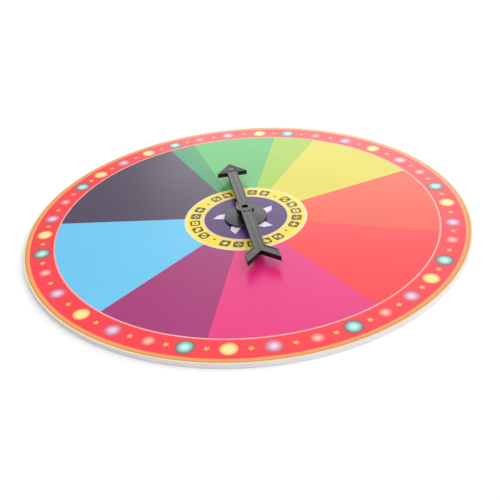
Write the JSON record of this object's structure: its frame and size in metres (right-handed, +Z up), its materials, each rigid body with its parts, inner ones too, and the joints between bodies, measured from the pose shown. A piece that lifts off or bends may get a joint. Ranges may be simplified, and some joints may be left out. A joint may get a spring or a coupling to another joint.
{
  "type": "game spinner",
  "caption": "Flat round game spinner: a laminated, colour-sectored board with a black moulded pointer that turns freely on a low round base at its centre.",
  "frame": {"origin": "centre of the board's underside, on the surface it lies on", "axes": "+Z up, out of the printed face and along the pointer's axle; the pointer rests at 98 degrees from +X, turned towards +Y"},
  "size_m": [0.3999, 0.4, 0.0156],
  "materials": {
    "backing": "matt, slightly grey backing paper",
    "foam": "cut edge of white foamed plastic board",
    "print": "printed paper",
    "film": "clear gloss laminate over coloured inks",
    "tape": "double-sided tape",
    "black_plastic": "finely textured black moulding",
    "dark_steel": "blackened steel",
    "nylon": "natural nylon",
    "bush_brass": "turned brass"
  },
  "bodies": {
    "board": {"backing_paper": "backing", "board_core": "foam", "print_sheet": "print", "gloss_film": "film", "mounting_tape": "tape", "spinner_base": "black_plastic", "axle_pin": "dark_steel", "thrust_washer": "nylon", "push_on_retainer": "dark_steel"},
    "pointer": {"hub_bush": "bush_brass", "pointer": "black_plastic"}
  },
  "joints": [
    {"name": "pointer_spin", "type": "hinge", "parent": "board", "child": "pointer", "pos_m": [0, 0, 0.0107], "axis": [0, 0, 1], "continuous": true}
  ]
}
